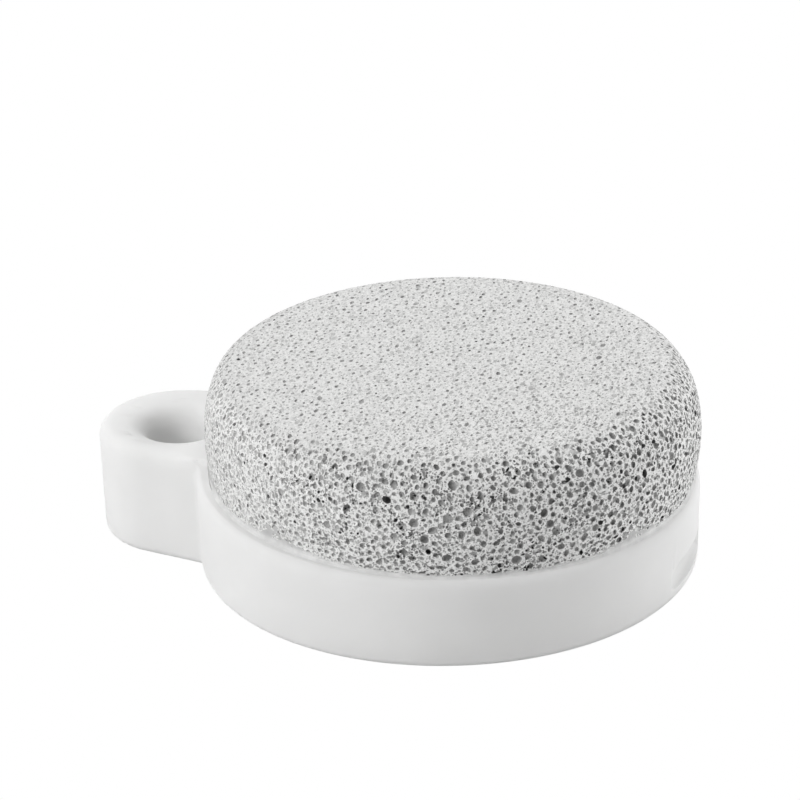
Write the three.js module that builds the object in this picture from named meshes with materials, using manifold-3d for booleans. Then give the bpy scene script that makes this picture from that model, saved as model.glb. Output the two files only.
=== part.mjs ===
// A round pumice stone cemented into a white moulded holder with a hanging eye.
//
// Millimetres, +Z up. The origin is the centre of the holder's flat underside. The eye points
// along -X and the grip slot in the wall faces +X.

import * as THREE from 'three';
import { mergeVertices } from 'three/addons/utils/BufferGeometryUtils.js';
import Module from 'manifold-3d';

const wasm = await Module();
wasm.setup();

const { degToRad, lerp, smoothstep } = THREE.MathUtils;

// The cup
const FACETS = 72;
const DRAFT = Math.tan(degToRad(1.25));
const CUP_RADIUS = 30;
const CUP_HEIGHT = 11.5;
const CUP_BORE = 28.6;
const SEAT_HEIGHT = 6;
const FOOT_ROUND = 0.8;
const RIM_ROUND = 0.8;
const RIM_CREST = 29.4;
const RIM_BEVEL = 1.3;
const RIM_LEAN = 0.6;

// The hanging eye and its hole
const EYE_CENTRE = -34.1;
const EYE_RADIUS = 9.35;
const EYE_HEIGHT = 13.8;
const EYE_ROUND = 1.7;
const EYE_FLARE = 11;
const EYE_ROOT = -24;
const EYE_STEPS = 24;
const HOLE_CENTRE = { x: -33.6, y: -0.5 };
const HOLE_RADIUS = 3.9;
const HOLE_ROUND = 1.4;
const HOLE_FACETS = 32;

// The grip slot
const SLOT_WIDTH = 13.8;
const SLOT_LOW = 1.6;
const SLOT_HIGH = 4.75;
const SLOT_CORNER = 1.2;
const SLOT_CORNER_STEPS = 4;
const SLOT_FLOOR_RADIUS = 28.1;

// The stone
const STONE_FOOT = { radius: 27.9, height: 10, edge: 0.5 };
const STONE_NECK = { radius: 29, height: 11.8 };
const STONE_BELLY = { radius: 29.9, height: 17.2 };
const STONE_CROWN = { radius: 25, height: 25.25 };
const STONE_TOP = 25.4;
const STONE_SHIFT = 0.6;
const NECK_PULL = { out: 0.55, low: 0.3, high: 0.65 };
const SHOULDER_FULLNESS = 0.6;
const PORE_PITCH = 1.46;
const PORE_JITTER = 0.22;
const PORE_DEPTH = { side: 1.2, top: 0.75 };
const PORE_SPREAD = 0.4;
const PORE_SEED = 5;

// The glue line
const GLUE_GAP = 0.06;
const GLUE_PROUD = 0.35;

const FILLET_STEPS = 3;
const CUT_MARGIN = 1.5;
const SEAT_FLARE = { radius: 30.7, height: 15 };

// The joint between stone and cup runs higher by the eye and lower by the slot: levels near the
// joint rise or fall with X, while the seat and the crown stay level.
function lean(geometry) {
  const position = geometry.attributes.position;
  for (let i = 0; i < position.count; i++) {
    const height = position.getZ(i);
    const fromSeat = smoothstep(height, SEAT_HEIGHT, CUP_HEIGHT);
    const toCrown = 1 - smoothstep(height, STONE_NECK.height, STONE_CROWN.height);
    const rise = -RIM_LEAN * position.getX(i) / CUP_RADIUS;
    position.setZ(i, height + rise * fromSeat * toCrown);
  }
  return geometry;
}

// Points along an arc, as [x, y] pairs, its ends given in degrees
function arc(centreX, centreY, radius, from, to, steps = FILLET_STEPS) {
  const points = [];
  for (let i = 0; i <= steps; i++) {
    const angle = degToRad(lerp(from, to, i / steps));
    points.push([centreX + radius * Math.cos(angle), centreY + radius * Math.sin(angle)]);
  }
  return points;
}

// A profile of [radius, height] pairs turned about Z
function turned(profile, facets) {
  const points = profile.map(([radius, height]) => new THREE.Vector2(radius, height));
  return new THREE.LatheGeometry(points, facets).rotateX(Math.PI / 2);
}

// A closed body through convex rings of equal length, from the lowest ring to the highest
function lofted(rings) {
  const count = rings[0].length;
  const faces = [];
  for (let level = 0; level < rings.length - 1; level++) {
    for (let i = 0; i < count; i++) {
      const a = level * count + i;
      const b = level * count + (i + 1) % count;
      faces.push(a, b, b + count, a, b + count, a + count);
    }
  }
  const top = (rings.length - 1) * count;
  for (let i = 1; i < count - 1; i++) {
    faces.push(0, i + 1, i, top, top + i, top + i + 1);
  }
  return meshed(rings.flat().flat(), faces);
}

function meshed(positions, faces) {
  const geometry = new THREE.BufferGeometry();
  geometry.setAttribute('position', new THREE.Float32BufferAttribute(positions, 3));
  geometry.setIndex(faces);
  return geometry;
}

// A geometry as a solid: shared vertices merged, empty triangles at the poles left out
function solidOf(geometry) {
  const bare = geometry.clone();
  bare.deleteAttribute('normal');
  bare.deleteAttribute('uv');
  const merged = mergeVertices(bare);
  const corners = merged.index.array;
  const kept = [];
  for (let i = 0; i < corners.length; i += 3) {
    const [a, b, c] = corners.subarray(i, i + 3);
    if (a !== b && b !== c && c !== a) {
      kept.push(a, b, c);
    }
  }
  return new wasm.Manifold(new wasm.Mesh({
    numProp: 3,
    vertProperties: Float32Array.from(merged.attributes.position.array),
    triVerts: Uint32Array.from(kept),
  }));
}

function geometryOf(solid) {
  const mesh = solid.getMesh();
  const geometry = new THREE.BufferGeometry();
  geometry.setAttribute('position', new THREE.BufferAttribute(mesh.vertProperties, 3));
  geometry.setIndex(new THREE.BufferAttribute(mesh.triVerts, 1));
  return geometry;
}

// The cup's body before anything is cut from it
function makeDrum() {
  const rimRadius = CUP_RADIUS + DRAFT * CUP_HEIGHT;
  const profile = [
    [0, 0],
    ...arc(CUP_RADIUS - FOOT_ROUND, FOOT_ROUND, FOOT_ROUND, -90, 0),
    ...arc(rimRadius - RIM_ROUND, CUP_HEIGHT - RIM_ROUND, RIM_ROUND, 0, 90),
    [0, CUP_HEIGHT],
  ];
  return lean(turned(profile, FACETS));
}

// The space for the stone: a straight bore, a bevel at the rim, and above it a flare that cuts the
// eye's top clear of the stone
function makeSeat() {
  const profile = [
    [0, SEAT_HEIGHT],
    [CUP_BORE, SEAT_HEIGHT],
    [CUP_BORE, CUP_HEIGHT - RIM_BEVEL],
    [RIM_CREST, CUP_HEIGHT],
    [SEAT_FLARE.radius, SEAT_FLARE.height],
    [0, SEAT_FLARE.height],
  ];
  return lean(turned(profile, FACETS));
}

// One outline of the eye: a round end, and sides that flare towards the cup
function eyeRing(inset, height) {
  const radius = EYE_RADIUS - inset;
  const flare = degToRad(EYE_FLARE);
  const halfRoot = radius / Math.cos(flare) + (EYE_ROOT - EYE_CENTRE) * Math.tan(flare);
  const outline = [
    ...arc(EYE_CENTRE, 0, radius, 90 + EYE_FLARE, 270 - EYE_FLARE, EYE_STEPS),
    [EYE_ROOT, -halfRoot],
    [EYE_ROOT, halfRoot],
  ];
  return outline.map(([x, y]) => [x, y, height]);
}

// The eye as a block with its foot and its upper edge rounded
function makeEye() {
  const wallTop = EYE_HEIGHT - EYE_ROUND;
  const foot = arc(-FOOT_ROUND, FOOT_ROUND, FOOT_ROUND, -90, 0);
  const shoulder = arc(DRAFT * wallTop - EYE_ROUND, wallTop, EYE_ROUND, 0, 90);
  return lofted([...foot, ...shoulder].map(([out, height]) => eyeRing(-out, height)));
}

// The eye's through hole, its two edges rounded
function makeHole() {
  const edge = HOLE_RADIUS + HOLE_ROUND;
  const profile = [
    [0, -CUT_MARGIN],
    [edge, -CUT_MARGIN],
    ...arc(edge, HOLE_ROUND, HOLE_ROUND, 270, 180),
    ...arc(edge, EYE_HEIGHT - HOLE_ROUND, HOLE_ROUND, 180, 90),
    [edge, EYE_HEIGHT + CUT_MARGIN],
    [0, EYE_HEIGHT + CUT_MARGIN],
  ];
  return turned(profile, HOLE_FACETS).translate(HOLE_CENTRE.x, HOLE_CENTRE.y, 0);
}

// The slot's outline pushed through the wall, to be stopped by a drum inside it
function makeSlot() {
  const side = SLOT_WIDTH / 2 - SLOT_CORNER;
  const low = SLOT_LOW + SLOT_CORNER;
  const high = SLOT_HIGH - SLOT_CORNER;
  const outline = [
    ...arc(-side, low, SLOT_CORNER, 180, 270, SLOT_CORNER_STEPS),
    ...arc(side, low, SLOT_CORNER, 270, 360, SLOT_CORNER_STEPS),
    ...arc(side, high, SLOT_CORNER, 0, 90, SLOT_CORNER_STEPS),
    ...arc(-side, high, SLOT_CORNER, 90, 180, SLOT_CORNER_STEPS),
  ];
  const inner = SLOT_FLOOR_RADIUS - 2 * CUT_MARGIN;
  const outer = CUP_RADIUS + CUT_MARGIN;
  return lofted([inner, outer].map((x) => outline.map(([y, z]) => [x, y, z])));
}

function makeHolder() {
  const slotFloor = solidOf(turned([
    [0, 0],
    [SLOT_FLOOR_RADIUS, 0],
    [SLOT_FLOOR_RADIUS, SEAT_HEIGHT],
    [0, SEAT_HEIGHT],
  ], FACETS));
  const slot = solidOf(makeSlot()).subtract(slotFloor);
  const body = solidOf(makeDrum()).add(solidOf(makeEye()));
  const seated = body.subtract(solidOf(makeSeat()));
  return geometryOf(seated.subtract(solidOf(makeHole())).subtract(slot));
}

// A repeatable random number from 0 to 1
function seededRandom(seed) {
  let state = seed;
  return () => {
    state = (state + 0x6d2b79f5) | 0;
    let bits = Math.imul(state ^ (state >>> 15), 1 | state);
    bits = (bits + Math.imul(bits ^ (bits >>> 7), 61 | bits)) ^ bits;
    return ((bits ^ (bits >>> 14)) >>> 0) / 4294967296;
  };
}

// The outline of the stone that shows, from the joint up over the belly and shoulder to the axis
function stonePath() {
  const path = new THREE.Path();
  const belly = STONE_BELLY;
  const crown = STONE_CROWN;
  const rise = crown.height - belly.height;
  path.moveTo(STONE_NECK.radius, STONE_NECK.height);
  path.bezierCurveTo(
    lerp(STONE_NECK.radius, belly.radius, NECK_PULL.out),
    lerp(STONE_NECK.height, belly.height, NECK_PULL.low),
    belly.radius, lerp(STONE_NECK.height, belly.height, NECK_PULL.high),
    belly.radius, belly.height,
  );
  path.bezierCurveTo(
    belly.radius, belly.height + SHOULDER_FULLNESS * rise,
    lerp(crown.radius, belly.radius, 1 - SHOULDER_FULLNESS), crown.height,
    crown.radius, crown.height,
  );
  path.lineTo(0, STONE_TOP);
  return path;
}

// Rings of points round the stone, from the centre of its flat foot to the centre of its top.
// Each point keeps its outward direction, and pitted rings may hold pores.
function stoneRings(random) {
  const foot = STONE_FOOT;
  const plain = [
    [0, SEAT_HEIGHT],
    [foot.radius - foot.edge, SEAT_HEIGHT],
    [foot.radius, SEAT_HEIGHT + foot.edge],
    [foot.radius, foot.height],
  ];
  const rings = plain.map(([radius, height]) => ({ radius, height, count: radius ? FACETS : 1 }));
  const path = stonePath();
  const rows = Math.round(path.getLength() / (PORE_PITCH * Math.sin(Math.PI / 3)));
  for (let row = 0; row <= rows; row++) {
    const share = row / rows;
    const point = path.getPointAt(share);
    const along = path.getTangentAt(share);
    const count = row === rows ? 1 : Math.max(6, Math.round(2 * Math.PI * point.x / PORE_PITCH));
    const pitted = row > 1 && row < rows;
    rings.push({ radius: count > 1 ? point.x : 0, height: point.y, count, along, pitted, odd: row % 2 });
  }
  for (const ring of rings) {
    ring.points = [];
    for (let i = 0; i < ring.count; i++) {
      const wander = ring.pitted ? PORE_JITTER : 0;
      const turn = (i + (ring.odd ? 0.5 : 0) + wander * (2 * random() - 1)) / ring.count * 2 * Math.PI;
      const slide = PORE_PITCH * wander * (2 * random() - 1);
      const radius = ring.radius + (ring.pitted ? slide * ring.along.x : 0);
      const height = ring.height + (ring.pitted ? slide * ring.along.y : 0);
      ring.points.push({ turn, radius, height });
    }
  }
  return rings;
}

// Triangles between two rings of different counts, taking the ring whose next point comes first
function bridge(lower, upper, faces) {
  const turnOf = (ring, i) => ring.points[i % ring.count].turn + 2 * Math.PI * Math.floor(i / ring.count);
  const at = (ring, i) => ring.first + i % ring.count;
  const lowerSteps = lower.count > 1 ? lower.count : 0;
  const upperSteps = upper.count > 1 ? upper.count : 0;
  let i = 0;
  let j = 0;
  while (i < lowerSteps || j < upperSteps) {
    const lowerFirst = j >= upperSteps || (i < lowerSteps && turnOf(lower, i + 1) <= turnOf(upper, j + 1));
    if (lowerFirst) {
      faces.push(at(lower, i), at(lower, i + 1), at(upper, j));
      i++;
    } else {
      faces.push(at(lower, i), at(upper, j + 1), at(upper, j));
      j++;
    }
  }
}

// Vertices that become pore bottoms: taken in random order, none beside another
function choosePores(rings, faces, random) {
  const total = rings.reduce((sum, ring) => sum + ring.count, 0);
  const neighbours = Array.from({ length: total }, () => new Set());
  for (let i = 0; i < faces.length; i += 3) {
    const [a, b, c] = faces.slice(i, i + 3);
    neighbours[a].add(b).add(c);
    neighbours[b].add(a).add(c);
    neighbours[c].add(a).add(b);
  }
  const open = rings.filter((ring) => ring.pitted)
    .flatMap((ring) => ring.points.map((point, i) => ({ index: ring.first + i, order: random() })));
  open.sort((one, other) => one.order - other.order);
  const pores = new Set();
  for (const { index } of open) {
    if (![...neighbours[index]].some((neighbour) => pores.has(neighbour))) {
      pores.add(index);
    }
  }
  return pores;
}

function makeStone() {
  const random = seededRandom(PORE_SEED);
  const rings = stoneRings(random);
  const faces = [];
  let first = 0;
  for (const ring of rings) {
    ring.first = first;
    first += ring.count;
  }
  for (let i = 0; i < rings.length - 1; i++) {
    bridge(rings[i], rings[i + 1], faces);
  }
  const pores = choosePores(rings, faces, random);
  const positions = [];
  for (const ring of rings) {
    ring.points.forEach(({ turn, radius, height }, i) => {
      let [out, up] = [radius, height];
      if (pores.has(ring.first + i)) {
        const onTop = smoothstep(height, STONE_BELLY.height, STONE_CROWN.height);
        const spread = 1 + PORE_SPREAD * (2 * random() - 1);
        const depth = lerp(PORE_DEPTH.side, PORE_DEPTH.top, onTop) * spread;
        out -= depth * ring.along.y;
        up += depth * ring.along.x;
      }
      const shift = STONE_SHIFT * smoothstep(height, STONE_NECK.height, STONE_BELLY.height);
      positions.push(shift + out * Math.cos(turn), out * Math.sin(turn), up);
    });
  }
  return lean(meshed(positions, faces));
}

// The bead fills the gap between stone and cup from the seat up, and stands a little proud
function makeGlueLine() {
  const inner = STONE_FOOT.radius + GLUE_GAP;
  const outer = CUP_BORE - GLUE_GAP;
  const low = SEAT_HEIGHT + STONE_FOOT.edge;
  const profile = [
    [inner, low],
    [outer, low],
    [outer, CUP_HEIGHT - RIM_BEVEL + GLUE_GAP],
    [RIM_CREST - GLUE_GAP, CUP_HEIGHT + GLUE_GAP],
    [RIM_CREST - GLUE_GAP, CUP_HEIGHT + GLUE_PROUD],
    [STONE_NECK.radius + 2 * GLUE_GAP, STONE_NECK.height],
    [inner, STONE_FOOT.height + GLUE_GAP],
    [inner, low],
  ];
  return lean(turned(profile, FACETS));
}

function named(name, geometry, finish) {
  const shape = geometry.index ? geometry.toNonIndexed() : geometry;
  shape.computeVertexNormals();
  const mesh = new THREE.Mesh(shape, new THREE.MeshStandardMaterial({ metalness: 0, ...finish }));
  mesh.name = name;
  return mesh;
}

const pumiceOnHolder = new THREE.Group();
pumiceOnHolder.add(named('holder', makeHolder(), { color: 0xf1f1f0, roughness: 0.42 }));
pumiceOnHolder.add(named('pumice_stone', makeStone(), { color: 0xcbcbc9, roughness: 0.95 }));
pumiceOnHolder.add(named('glue_line', makeGlueLine(), { color: 0xe6e6e3, roughness: 0.6 }));

export default pumiceOnHolder;
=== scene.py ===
# %% [markdown]
# # A pumice stone in its white holder
#
# The object has three pieces: a white plastic cup with a hanging eye, a round piece of pumice that
# is cemented into the cup, and the cement itself, which shows as a milky line along the joint.
#
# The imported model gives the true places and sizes. Each of its three solids is replaced here by a
# finer piece of the same shape. Lengths below are in millimetres, and MM turns them into metres.

import math

import bmesh
import bpy
import numpy as np
from mathutils import Euler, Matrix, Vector
from mathutils.geometry import delaunay_2d_cdt


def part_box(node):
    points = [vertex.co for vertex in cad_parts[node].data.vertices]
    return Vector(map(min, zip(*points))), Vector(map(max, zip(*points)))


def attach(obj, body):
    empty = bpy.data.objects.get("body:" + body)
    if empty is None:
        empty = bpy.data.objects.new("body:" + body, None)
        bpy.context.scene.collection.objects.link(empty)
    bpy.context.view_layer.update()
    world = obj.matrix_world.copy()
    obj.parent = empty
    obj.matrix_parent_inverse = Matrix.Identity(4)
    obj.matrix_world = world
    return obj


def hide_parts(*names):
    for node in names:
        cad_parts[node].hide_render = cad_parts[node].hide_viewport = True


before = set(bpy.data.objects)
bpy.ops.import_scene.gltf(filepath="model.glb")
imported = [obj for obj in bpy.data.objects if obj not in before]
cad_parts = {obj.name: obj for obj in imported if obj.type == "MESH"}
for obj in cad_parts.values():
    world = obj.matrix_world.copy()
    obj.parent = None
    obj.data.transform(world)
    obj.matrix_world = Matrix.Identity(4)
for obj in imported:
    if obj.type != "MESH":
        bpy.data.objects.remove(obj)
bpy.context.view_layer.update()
MM = 0.001
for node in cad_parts:
    low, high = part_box(node)
    print(node, "reaches", [round(v / MM, 1) for v in (*low, *high)])

# %% [markdown]
# ## Sizes
#
# These are the sizes of the real pieces. The cup is a low drum whose wall leans out by a degree or
# so, as a moulding must to leave its mould. The joint with the stone runs a little higher by the
# eye than by the slot, so everything near the joint leans with it.

# %% Sizes of the cup
CUP_RADIUS = 30
CUP_HEIGHT = 11.5
CUP_BORE = 28.6
SEAT_HEIGHT = 6
FOOT_ROUND = 1.1
RIM_ROUND = 0.65
RIM_DROP = 1.5
RIM_CREST = 29.4
CREST_SHIFT = 0.62
RIM_BEVEL = 1.3
RIM_LEAN = 0.6
DRAFT = math.tan(math.radians(1.25))

# %% Sizes of the eye, its hole and the slot
EYE_CENTRE = -34.1
EYE_RADIUS = 9.35
EYE_HEIGHT = 14.1
EYE_ROUND = 1.7
EYE_FLARE = math.radians(11)
EYE_FILLET = 1.1
HOLE_CENTRE = (-33.6, -0.8)
HOLE_RADIUS = 4
HOLE_ROUND = 2.6
SLOT_WIDTH = 13.8
SLOT_LOW = 1.6
SLOT_HIGH = 4.75
SLOT_CORNER = 1.2
SLOT_FLOOR = 29.2
SLOT_FLARE = 0.6

# %% Sizes of the stone
STONE_FOOT = (27.9, 10)
STONE_NECK = (29, 11.8)
STONE_BELLY = (29.7, 17.2)
STONE_CROWN = (25, 25.25)
STONE_TOP = 25.4
STONE_SHIFT = ((9.5, 0), (12, 0.55), (17.2, 0.7), (21.5, 0.65), (25.25, 0.25))
SHOULDER_FULLNESS = 0.6


# %% Helpers for curves and for the lean of the joint
def smooth(value, low, high):
    """0 below low, 1 above high and an S-curve between them."""
    share = np.clip((np.asarray(value, float) - low) / (high - low), 0, 1)
    return share * share * (3 - 2 * share)


def quarter(start, points):
    """Angles of a quarter turn that starts at an angle in degrees."""
    return np.radians(np.linspace(start, start + 90, points))


def joint_rise(x, z):
    """How far a point near the joint is lifted towards the eye."""
    from_seat = smooth(z, SEAT_HEIGHT, CUP_HEIGHT)
    to_crown = 1 - smooth(z, STONE_NECK[1], STONE_CROWN[1])
    return -RIM_LEAN * np.asarray(x) / CUP_RADIUS * from_seat * to_crown


# %% [markdown]
# ## Operator helpers
#
# An operator acts on everything that is selected, and the loaded frame starts out selected. So
# each piece starts with a clean selection, and parts of a mesh are selected in code, by place.
#
# Most of the holder is made by one hand movement: a ring of edges is extruded, and each new ring is
# moved to its place. Every point carries its number along the ring through the extrusions.

# %% Selecting, joining and naming
def only(piece):
    """Leaves nothing but this piece selected and active."""
    bpy.ops.object.select_all(action="DESELECT")
    piece.select_set(True)
    bpy.context.view_layer.objects.active = piece
    return piece


def mesh_piece(name, points, edges=(), faces=()):
    """A new object whose mesh is given in millimetres."""
    mesh = bpy.data.meshes.new(name)
    mesh.from_pydata([tuple(float(v) * MM for v in p) for p in points], edges, faces)
    piece = bpy.data.objects.new(name, mesh)
    bpy.context.collection.objects.link(piece)
    return only(piece)


def tidy_normals(merge=0.001):
    """In edit mode: joins points that coincide and turns all faces outwards."""
    bpy.ops.mesh.select_all(action="SELECT")
    bpy.ops.mesh.remove_doubles(threshold=merge * MM)
    bpy.ops.mesh.normals_make_consistent(inside=False)


# %% Skinning a piece ring by ring
def skin(name, rings, ends):
    """Extrudes a closed ring of edges through the given rings of points. ends is "filled" or "joined"."""
    count = len(rings[0])
    piece = mesh_piece(name, rings[0], [(i, (i + 1) % count) for i in range(count)])
    place = piece.data.attributes.new("place", "INT", "POINT")
    place.data.foreach_set("value", range(count))
    bpy.ops.object.mode_set(mode="EDIT")
    bpy.ops.mesh.select_mode(type="EDGE")
    bpy.ops.mesh.select_all(action="SELECT")
    if ends == "filled":
        bpy.ops.mesh.edge_face_add()
        bpy.ops.mesh.select_all(action="SELECT")
    for ring in rings[1:]:
        bpy.ops.mesh.extrude_edges_indiv()
        bm = bmesh.from_edit_mesh(piece.data)
        key = bm.verts.layers.int["place"]
        for vert in bm.verts:
            if vert.select:
                vert.co = Vector(ring[vert[key]]) * MM
        bmesh.update_edit_mesh(piece.data)
    if ends == "filled":
        bpy.ops.mesh.edge_face_add()
    tidy_normals()
    bpy.ops.object.mode_set(mode="OBJECT")
    piece.data.attributes.remove(piece.data.attributes["place"])
    return piece


# %% Cutting and smoothing
def cut(piece, cutter):
    """Takes the cutter out of the piece, and removes the cutter."""
    only(piece)
    bpy.ops.object.modifier_add(type="BOOLEAN")
    boolean = piece.modifiers[-1]
    boolean.object = cutter
    boolean.operation = "DIFFERENCE"
    boolean.solver = "EXACT"
    bpy.ops.object.modifier_apply(modifier=boolean.name)
    bpy.data.objects.remove(cutter)


def smooth_shade(piece, degrees):
    only(piece)
    bpy.ops.object.shade_smooth_by_angle(angle=math.radians(degrees))


def report(piece):
    triangles = sum(len(p.vertices) - 2 for p in piece.data.polygons)
    print(piece.name, "has", triangles, "triangles")


# %% [markdown]
# ## Camera
#
# The camera stands low and far away behind a long lens, as in a shop photograph. Its place and
# turn were found by fitting the outlines of the cup, the eye and the stone to the picture.

# %% The camera
CAMERA_PLACE = (151.447, -514.320, 269.330)
CAMERA_TURN = (65.1013, 1.2467, 16.4242)
LENS = 222.83

bpy.ops.object.select_all(action="DESELECT")
bpy.ops.object.camera_add(location=Vector(CAMERA_PLACE) * MM)
camera = bpy.context.object
camera.name = "camera"
camera.rotation_euler = Euler([math.radians(v) for v in CAMERA_TURN])
camera.data.lens = LENS
camera.data.sensor_width = 36
camera.data.clip_end = 20
bpy.context.scene.camera = camera
print("camera is", round(Vector(CAMERA_PLACE).length), "mm from the cup")

# %% [markdown]
# ## Floor and light
#
# The object stands on a white sweep in soft light: the strongest softbox at the left, one at the
# right, a weaker one high behind, and a faint glow from all round. Little shines from the camera's
# side, so the wall that faces the camera is the darkest. The sweep is exposed to plain white for
# the camera alone, while the object still receives the true bounce of a white board.

# %% The sweep
def new_material(name):
    material = bpy.data.materials.new(name)
    material.use_nodes = True
    return material, material.node_tree.nodes, material.node_tree.links


FLOOR_WHITE = 0.86
bpy.ops.mesh.primitive_plane_add(size=8)
sweep = bpy.context.object
sweep.name = "sweep"
white_board, nodes, links = new_material("white_board")
board = nodes["Principled BSDF"]
board.inputs["Base Color"].default_value = (FLOOR_WHITE, FLOOR_WHITE, FLOOR_WHITE, 1)
board.inputs["Roughness"].default_value = 0.9
glow = nodes.new("ShaderNodeEmission")
glow.inputs["Strength"].default_value = 1.0
seen = nodes.new("ShaderNodeLightPath")
mix = nodes.new("ShaderNodeMixShader")
links.new(seen.outputs["Is Camera Ray"], mix.inputs["Fac"])
links.new(board.outputs["BSDF"], mix.inputs[1])
links.new(glow.outputs["Emission"], mix.inputs[2])
links.new(mix.outputs["Shader"], nodes["Material Output"].inputs["Surface"])
sweep.data.materials.append(white_board)


# %% The softboxes
SOFTBOX_SIZE = 0.8
AMBIENT = 0.147
LIT_POINT = Vector((0, 0, 0.012))


def softbox(name, place, power):
    """A square area light that faces the object. place is in metres and power in watts."""
    bpy.ops.object.light_add(type="AREA", location=place)
    light = bpy.context.object
    light.name = name
    light.data.shape = "SQUARE"
    light.data.size = SOFTBOX_SIZE
    light.data.energy = power
    light.rotation_euler = (LIT_POINT - light.location).to_track_quat("-Z", "Y").to_euler()


softbox("left_softbox", (-0.634, -0.666, 0.771), 10.0)
softbox("right_softbox", (0.997, 0.495, 0.450), 8.9)
softbox("back_softbox", (-0.194, 0.660, 0.983), 5.7)

world = bpy.data.worlds.new("studio")
bpy.context.scene.world = world
world.use_nodes = True
world.node_tree.nodes["Background"].inputs["Color"].default_value = (1, 1, 1, 1)
world.node_tree.nodes["Background"].inputs["Strength"].default_value = AMBIENT
bpy.context.scene.view_settings.view_transform = "Standard"

# %% [markdown]
# ## The holder
#
# The real holder is one moulding. Seen from above, its outline is the cup's circle, which runs
# through a small hollow fillet into the side of the eye, round the eye's end and back. It could be
# a drum and a block joined by a boolean, but the fillet and the soft step from the eye's top down
# to the cup's rim would then need handwork. So the outline is drawn first, and its ring is extruded
# up the wall, over the rounded edge and down into the seat for the stone.

# %% The outline of the holder
CUP_STEP = math.radians(1.5)
FILLET_STEPS = 10
SIDE_STEPS = 10
EYE_STEPS = 36
STEP_REACH = (1.6, 0.4)  # how far the step goes beyond the fillet, on the cup and on the eye
ROUNDING_REACH = 3  # length over which the edge's rounding grows


def outline_half():
    """Points of the outline at Y >= 0 with their normals, and where its fillet starts and ends."""
    side = Vector((math.cos(EYE_FLARE), math.sin(EYE_FLARE)))
    out = Vector((-math.sin(EYE_FLARE), math.cos(EYE_FLARE)))
    start = Vector((EYE_CENTRE, 0)) + out * EYE_RADIUS
    offset = start + out * EYE_FILLET
    along = -offset.dot(side) - math.sqrt(
        offset.dot(side) ** 2 - offset.length_squared + (CUP_RADIUS + EYE_FILLET) ** 2
    )
    centre = offset + side * along
    root = start + side * along
    touch = centre * (CUP_RADIUS / (CUP_RADIUS + EYE_FILLET))
    touch_angle = math.atan2(touch.y, touch.x)
    points = []
    steps = round(touch_angle / CUP_STEP)
    for i in range(steps):
        angle = touch_angle * i / steps
        normal = Vector((math.cos(angle), math.sin(angle)))
        points.append((normal * CUP_RADIUS, normal))
    first = math.atan2(-touch.y, -touch.x) + 2 * math.pi
    last = math.atan2(-out.y, -out.x) + 2 * math.pi
    for i in range(FILLET_STEPS + 1):
        angle = first + (last - first) * i / FILLET_STEPS
        arm = Vector((math.cos(angle), math.sin(angle)))
        points.append((centre + arm * EYE_FILLET, -arm))
    for i in range(1, SIDE_STEPS):
        points.append((root + (start - root) * i / SIDE_STEPS, out))
    for i in range(EYE_STEPS + 1):
        angle = math.pi / 2 + EYE_FLARE + (math.pi / 2 - EYE_FLARE) * i / EYE_STEPS
        normal = Vector((math.cos(angle), math.sin(angle)))
        points.append((Vector((EYE_CENTRE, 0)) + normal * EYE_RADIUS, normal))
    return points, steps, steps + FILLET_STEPS


half, fillet_start, fillet_end = outline_half()
mirrored = [(Vector((p.x, -p.y)), Vector((n.x, -n.y))) for p, n in half[-2:0:-1]]
outline = half + mirrored
travel = np.cumsum([0] + [(a[0] - b[0]).length for a, b in zip(half[1:], half)])
step_from = travel[fillet_start] - STEP_REACH[0]
step_to = travel[fillet_end] + STEP_REACH[1]
round_from = travel[fillet_end]


def both_halves(values):
    return np.concatenate([values, values[-2:0:-1]])


eye_share = both_halves(smooth(travel, step_from, step_to))
round_share = both_halves(smooth(travel, round_from, round_from + ROUNDING_REACH))
PLAN = np.array([tuple(p) for p, n in outline])
PLAN_NORMAL = np.array([tuple(n) for p, n in outline])
print("outline has", len(outline), "points and reaches x =", round(PLAN[:, 0].min(), 2))

# %% [markdown]
# The height of the wall is blended along the outline: on the cup it is the rim's, on the eye it is
# the eye's, and it climbs from one to the other along the fillet and a little before it. Inside,
# every ring point has a partner on the round seat. The partners are spread evenly across the eye,
# so no face folds.

# %% The inner partners of the outline
polar = np.arctan2(PLAN[:, 1], PLAN[:, 0])
inner_half = polar[: len(half)].copy()
span = travel[fillet_start:] - travel[fillet_start]
inner_half[fillet_start:] = polar[fillet_start] + (math.pi - polar[fillet_start]) * span / span[-1]
INNER = np.concatenate([inner_half, -inner_half[-2:0:-1]])


def inner_ring(radius, height):
    """A ring on the round seat. radius and height may vary along it."""
    x, y = radius * np.cos(INNER), radius * np.sin(INNER)
    z = height + joint_rise(x, height)
    return np.stack([x, y, z], 1)


def rim_crest(turn):
    """Radius of the rim's inner edge. It lies further in by the eye, as the stone sits off the middle."""
    return RIM_CREST - CREST_SHIFT * (1 - np.cos(turn)) / 2


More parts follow.
